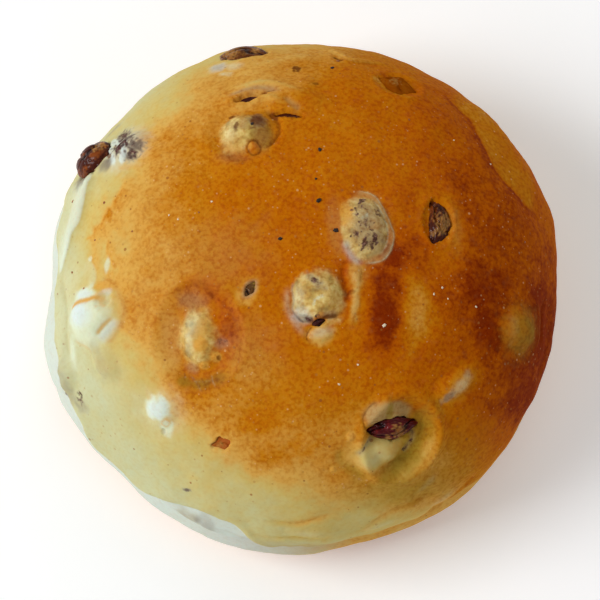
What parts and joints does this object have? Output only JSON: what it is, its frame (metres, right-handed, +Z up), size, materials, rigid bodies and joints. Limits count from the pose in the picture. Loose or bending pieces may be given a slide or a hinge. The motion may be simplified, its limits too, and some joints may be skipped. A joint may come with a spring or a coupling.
{
  "type": "raisin bun",
  "caption": "Round soft bread bun with a browned domed crust, a flat pale base and raisins under and through the skin.",
  "frame": {"origin": "middle of the flat base, on the surface the bun stands on", "axes": "+Z up through the dome, +X towards the browned side, -Y towards the pale front"},
  "size_m": [0.0975, 0.098, 0.0532],
  "materials": {
    "crust": "satin baked crust, browned on top and cream at the foot",
    "raisin": "wrinkled, dark, moist gloss"
  },
  "bodies": {
    "root": {"bun": "crust", "raisin_left_edge": "raisin", "raisin_back_edge": "raisin", "raisin_back_slit": "raisin", "raisin_top_slit": "raisin", "raisin_back_right": "raisin", "raisin_in_pit": "raisin", "raisin_in_crater": "raisin", "raisin_in_middle": "raisin", "raisin_front": "raisin", "raisin_speck": "raisin"}
  },
  "joints": []
}
